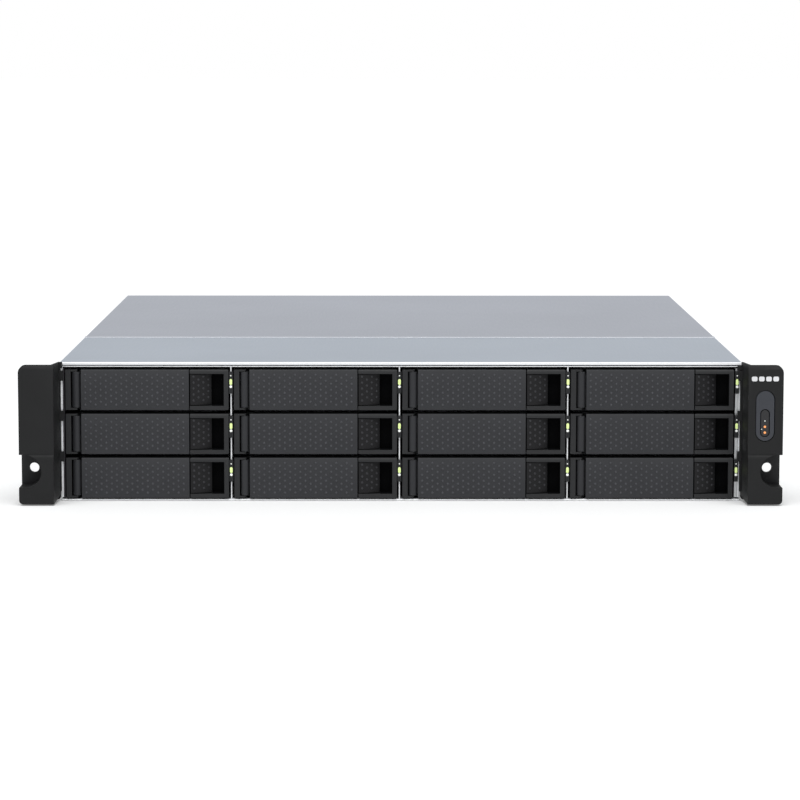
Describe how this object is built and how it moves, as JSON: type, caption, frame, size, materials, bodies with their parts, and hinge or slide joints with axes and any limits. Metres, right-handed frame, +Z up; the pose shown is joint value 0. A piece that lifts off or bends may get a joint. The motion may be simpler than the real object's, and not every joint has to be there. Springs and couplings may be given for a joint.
{
  "type": "network attached storage",
  "caption": "Two-unit rackmount network attached storage: hot-swap drive trays with dotted levers, dark moulded rack ears, silver sheet steel covers.",
  "frame": {"origin": "centre of the footprint, on the surface the unit rests on", "axes": "+X to the right of a person facing the front, +Y from front to rear, +Z up"},
  "size_m": [0.4826, 0.534, 0.0889],
  "materials": {
    "cover_steel": "satin zinc-coated sheet, very fine grain",
    "zinc_steel": "satin zinc-coated sheet",
    "ear_plastic": "fine-textured moulded plastic",
    "tray_plastic": "fine-textured moulded plastic",
    "lever_plastic": "fine-textured moulded plastic with a dot pattern",
    "latch_plastic": "matt moulded plastic with raised dots",
    "button_plastic": "satin moulded plastic",
    "window_plastic": "smoked gloss lens",
    "circuit_board": "solder-masked glass epoxy board",
    "fan_plastic": "satin moulded plastic",
    "heatsink_aluminium": "milled fins",
    "black_steel": "fine-textured powder coat",
    "screw_steel": "bright zinc-plated fasteners and pins",
    "drive_casting": "cast and stamped drive housing",
    "plain_label": "blank paper label",
    "light_lens": "clear light guide, lit",
    "connector_metal": "bright stamped shells"
  },
  "bodies": {
    "root": {"base_pan": "zinc_steel", "left_side_wall": "zinc_steel", "right_side_wall": "zinc_steel", "front_top_cover": "cover_steel", "rear_panel": "zinc_steel", "bay_divider_1": "zinc_steel", "bay_divider_2": "zinc_steel", "bay_divider_3": "zinc_steel", "left_ear": "ear_plastic", "right_ear": "ear_plastic", "status_window": "window_plastic", "backplane": "circuit_board", "fan_frame_1": "fan_plastic", "fan_frame_2": "fan_plastic", "fan_frame_3": "fan_plastic", "mainboard": "circuit_board", "cpu_heatsink": "heatsink_aluminium", "rear_ports": "connector_metal", "power_supply": "zinc_steel"},
    "rear_cover": {"rear_top_cover": "cover_steel"},
    "power_button": {"power_button": "button_plastic"},
    "fan_1": {"fan_rotor_1": "fan_plastic"},
    "fan_2": {"fan_rotor_2": "fan_plastic"},
    "fan_3": {"fan_rotor_3": "fan_plastic"},
    "tray_1": {"tray_1": "tray_plastic"},
    "lever_1": {"tray_lever_1": "lever_plastic"},
    "latch_1": {"tray_latch_1": "latch_plastic"},
    "tray_2": {"tray_2": "tray_plastic"},
    "lever_2": {"tray_lever_2": "lever_plastic"},
    "latch_2": {"tray_latch_2": "latch_plastic"},
    "tray_3": {"tray_3": "tray_plastic"},
    "lever_3": {"tray_lever_3": "lever_plastic"},
    "latch_3": {"tray_latch_3": "latch_plastic"},
    "tray_4": {"tray_4": "tray_plastic"},
    "lever_4": {"tray_lever_4": "lever_plastic"},
    "latch_4": {"tray_latch_4": "latch_plastic"},
    "tray_5": {"tray_5": "tray_plastic"},
    "lever_5": {"tray_lever_5": "lever_plastic"},
    "latch_5": {"tray_latch_5": "latch_plastic"},
    "tray_6": {"tray_6": "tray_plastic"},
    "lever_6": {"tray_lever_6": "lever_plastic"},
    "latch_6": {"tray_latch_6": "latch_plastic"},
    "tray_7": {"tray_7": "tray_plastic"},
    "lever_7": {"tray_lever_7": "lever_plastic"},
    "latch_7": {"tray_latch_7": "latch_plastic"},
    "tray_8": {"tray_8": "tray_plastic"},
    "lever_8": {"tray_lever_8": "lever_plastic"},
    "latch_8": {"tray_latch_8": "latch_plastic"},
    "tray_9": {"tray_9": "tray_plastic"},
    "lever_9": {"tray_lever_9": "lever_plastic"},
    "latch_9": {"tray_latch_9": "latch_plastic"},
    "tray_10": {"tray_10": "tray_plastic"},
    "lever_10": {"tray_lever_10": "lever_plastic"},
    "latch_10": {"tray_latch_10": "latch_plastic"},
    "tray_11": {"tray_11": "tray_plastic"},
    "lever_11": {"tray_lever_11": "lever_plastic"},
    "latch_11": {"tray_latch_11": "latch_plastic"},
    "tray_12": {"tray_12": "tray_plastic"},
    "lever_12": {"tray_lever_12": "lever_plastic"},
    "latch_12": {"tray_latch_12": "latch_plastic"}
  },
  "joints": [
    {"name": "rear_cover_lift", "type": "slide", "parent": "root", "child": "rear_cover", "axis": [0, 0, 1], "range_m": [0, 0.08]},
    {"name": "power_button_press", "type": "slide", "parent": "root", "child": "power_button", "axis": [0, 1, 0], "range_m": [0, 0.001], "stiffness_N_per_m": 1500},
    {"name": "fan_1_spin", "type": "hinge", "parent": "root", "child": "fan_1", "pos_m": [-0.14, -0.0214, 0.043], "axis": [0, 1, 0], "continuous": true},
    {"name": "fan_2_spin", "type": "hinge", "parent": "root", "child": "fan_2", "pos_m": [0, -0.0214, 0.043], "axis": [0, 1, 0], "continuous": true},
    {"name": "fan_3_spin", "type": "hinge", "parent": "root", "child": "fan_3", "pos_m": [0.14, -0.0214, 0.043], "axis": [0, 1, 0], "continuous": true},
    {"name": "tray_1_slide", "type": "slide", "parent": "root", "child": "tray_1", "axis": [0, -1, 0], "range_m": [0, 0.19]},
    {"name": "lever_1_swing", "type": "hinge", "parent": "tray_1", "child": "lever_1", "pos_m": [-0.2063, -0.2434, 0.07105], "axis": [0, 0, -1], "range_deg": [0, 60]},
    {"name": "latch_1_press", "type": "hinge", "parent": "tray_1", "child": "latch_1", "pos_m": [-0.1333, -0.2445, 0.07105], "axis": [0, 0, 1], "range_deg": [0, 8], "stiffness_Nm_per_rad": 0.1},
    {"name": "tray_2_slide", "type": "slide", "parent": "root", "child": "tray_2", "axis": [0, -1, 0], "range_m": [0, 0.19]},
    {"name": "lever_2_swing", "type": "hinge", "parent": "tray_2", "child": "lever_2", "pos_m": [-0.0993, -0.2434, 0.07105], "axis": [0, 0, -1], "range_deg": [0, 60]},
    {"name": "latch_2_press", "type": "hinge", "parent": "tray_2", "child": "latch_2", "pos_m": [-0.0263, -0.2445, 0.07105], "axis": [0, 0, 1], "range_deg": [0, 8], "stiffness_Nm_per_rad": 0.1},
    {"name": "tray_3_slide", "type": "slide", "parent": "root", "child": "tray_3", "axis": [0, -1, 0], "range_m": [0, 0.19]},
    {"name": "lever_3_swing", "type": "hinge", "parent": "tray_3", "child": "lever_3", "pos_m": [0.0077, -0.2434, 0.07105], "axis": [0, 0, -1], "range_deg": [0, 60]},
    {"name": "latch_3_press", "type": "hinge", "parent": "tray_3", "child": "latch_3", "pos_m": [0.0807, -0.2445, 0.07105], "axis": [0, 0, 1], "range_deg": [0, 8], "stiffness_Nm_per_rad": 0.1},
    {"name": "tray_4_slide", "type": "slide", "parent": "root", "child": "tray_4", "axis": [0, -1, 0], "range_m": [0, 0.19]},
    {"name": "lever_4_swing", "type": "hinge", "parent": "tray_4", "child": "lever_4", "pos_m": [0.1147, -0.2434, 0.07105], "axis": [0, 0, -1], "range_deg": [0, 60]},
    {"name": "latch_4_press", "type": "hinge", "parent": "tray_4", "child": "latch_4", "pos_m": [0.1877, -0.2445, 0.07105], "axis": [0, 0, 1], "range_deg": [0, 8], "stiffness_Nm_per_rad": 0.1},
    {"name": "tray_5_slide", "type": "slide", "parent": "root", "child": "tray_5", "axis": [0, -1, 0], "range_m": [0, 0.19]},
    {"name": "lever_5_swing", "type": "hinge", "parent": "tray_5", "child": "lever_5", "pos_m": [-0.2063, -0.2434, 0.04285], "axis": [0, 0, -1], "range_deg": [0, 60]},
    {"name": "latch_5_press", "type": "hinge", "parent": "tray_5", "child": "latch_5", "pos_m": [-0.1333, -0.2445, 0.04285], "axis": [0, 0, 1], "range_deg": [0, 8], "stiffness_Nm_per_rad": 0.1},
    {"name": "tray_6_slide", "type": "slide", "parent": "root", "child": "tray_6", "axis": [0, -1, 0], "range_m": [0, 0.19]},
    {"name": "lever_6_swing", "type": "hinge", "parent": "tray_6", "child": "lever_6", "pos_m": [-0.0993, -0.2434, 0.04285], "axis": [0, 0, -1], "range_deg": [0, 60]},
    {"name": "latch_6_press", "type": "hinge", "parent": "tray_6", "child": "latch_6", "pos_m": [-0.0263, -0.2445, 0.04285], "axis": [0, 0, 1], "range_deg": [0, 8], "stiffness_Nm_per_rad": 0.1},
    {"name": "tray_7_slide", "type": "slide", "parent": "root", "child": "tray_7", "axis": [0, -1, 0], "range_m": [0, 0.19]},
    {"name": "lever_7_swing", "type": "hinge", "parent": "tray_7", "child": "lever_7", "pos_m": [0.0077, -0.2434, 0.04285], "axis": [0, 0, -1], "range_deg": [0, 60]},
    {"name": "latch_7_press", "type": "hinge", "parent": "tray_7", "child": "latch_7", "pos_m": [0.0807, -0.2445, 0.04285], "axis": [0, 0, 1], "range_deg": [0, 8], "stiffness_Nm_per_rad": 0.1},
    {"name": "tray_8_slide", "type": "slide", "parent": "root", "child": "tray_8", "axis": [0, -1, 0], "range_m": [0, 0.19]},
    {"name": "lever_8_swing", "type": "hinge", "parent": "tray_8", "child": "lever_8", "pos_m": [0.1147, -0.2434, 0.04285], "axis": [0, 0, -1], "range_deg": [0, 60]},
    {"name": "latch_8_press", "type": "hinge", "parent": "tray_8", "child": "latch_8", "pos_m": [0.1877, -0.2445, 0.04285], "axis": [0, 0, 1], "range_deg": [0, 8], "stiffness_Nm_per_rad": 0.1},
    {"name": "tray_9_slide", "type": "slide", "parent": "root", "child": "tray_9", "axis": [0, -1, 0], "range_m": [0, 0.19]},
    {"name": "lever_9_swing", "type": "hinge", "parent": "tray_9", "child": "lever_9", "pos_m": [-0.2063, -0.2434, 0.01465], "axis": [0, 0, -1], "range_deg": [0, 60]},
    {"name": "latch_9_press", "type": "hinge", "parent": "tray_9", "child": "latch_9", "pos_m": [-0.1333, -0.2445, 0.01465], "axis": [0, 0, 1], "range_deg": [0, 8], "stiffness_Nm_per_rad": 0.1},
    {"name": "tray_10_slide", "type": "slide", "parent": "root", "child": "tray_10", "axis": [0, -1, 0], "range_m": [0, 0.19]},
    {"name": "lever_10_swing", "type": "hinge", "parent": "tray_10", "child": "lever_10", "pos_m": [-0.0993, -0.2434, 0.01465], "axis": [0, 0, -1], "range_deg": [0, 60]},
    {"name": "latch_10_press", "type": "hinge", "parent": "tray_10", "child": "latch_10", "pos_m": [-0.0263, -0.2445, 0.01465], "axis": [0, 0, 1], "range_deg": [0, 8], "stiffness_Nm_per_rad": 0.1},
    {"name": "tray_11_slide", "type": "slide", "parent": "root", "child": "tray_11", "axis": [0, -1, 0], "range_m": [0, 0.19]},
    {"name": "lever_11_swing", "type": "hinge", "parent": "tray_11", "child": "lever_11", "pos_m": [0.0077, -0.2434, 0.01465], "axis": [0, 0, -1], "range_deg": [0, 60]},
    {"name": "latch_11_press", "type": "hinge", "parent": "tray_11", "child": "latch_11", "pos_m": [0.0807, -0.2445, 0.01465], "axis": [0, 0, 1], "range_deg": [0, 8], "stiffness_Nm_per_rad": 0.1},
    {"name": "tray_12_slide", "type": "slide", "parent": "root", "child": "tray_12", "axis": [0, -1, 0], "range_m": [0, 0.19]},
    {"name": "lever_12_swing", "type": "hinge", "parent": "tray_12", "child": "lever_12", "pos_m": [0.1147, -0.2434, 0.01465], "axis": [0, 0, -1], "range_deg": [0, 60]},
    {"name": "latch_12_press", "type": "hinge", "parent": "tray_12", "child": "latch_12", "pos_m": [0.1877, -0.2445, 0.01465], "axis": [0, 0, 1], "range_deg": [0, 8], "stiffness_Nm_per_rad": 0.1}
  ]
}
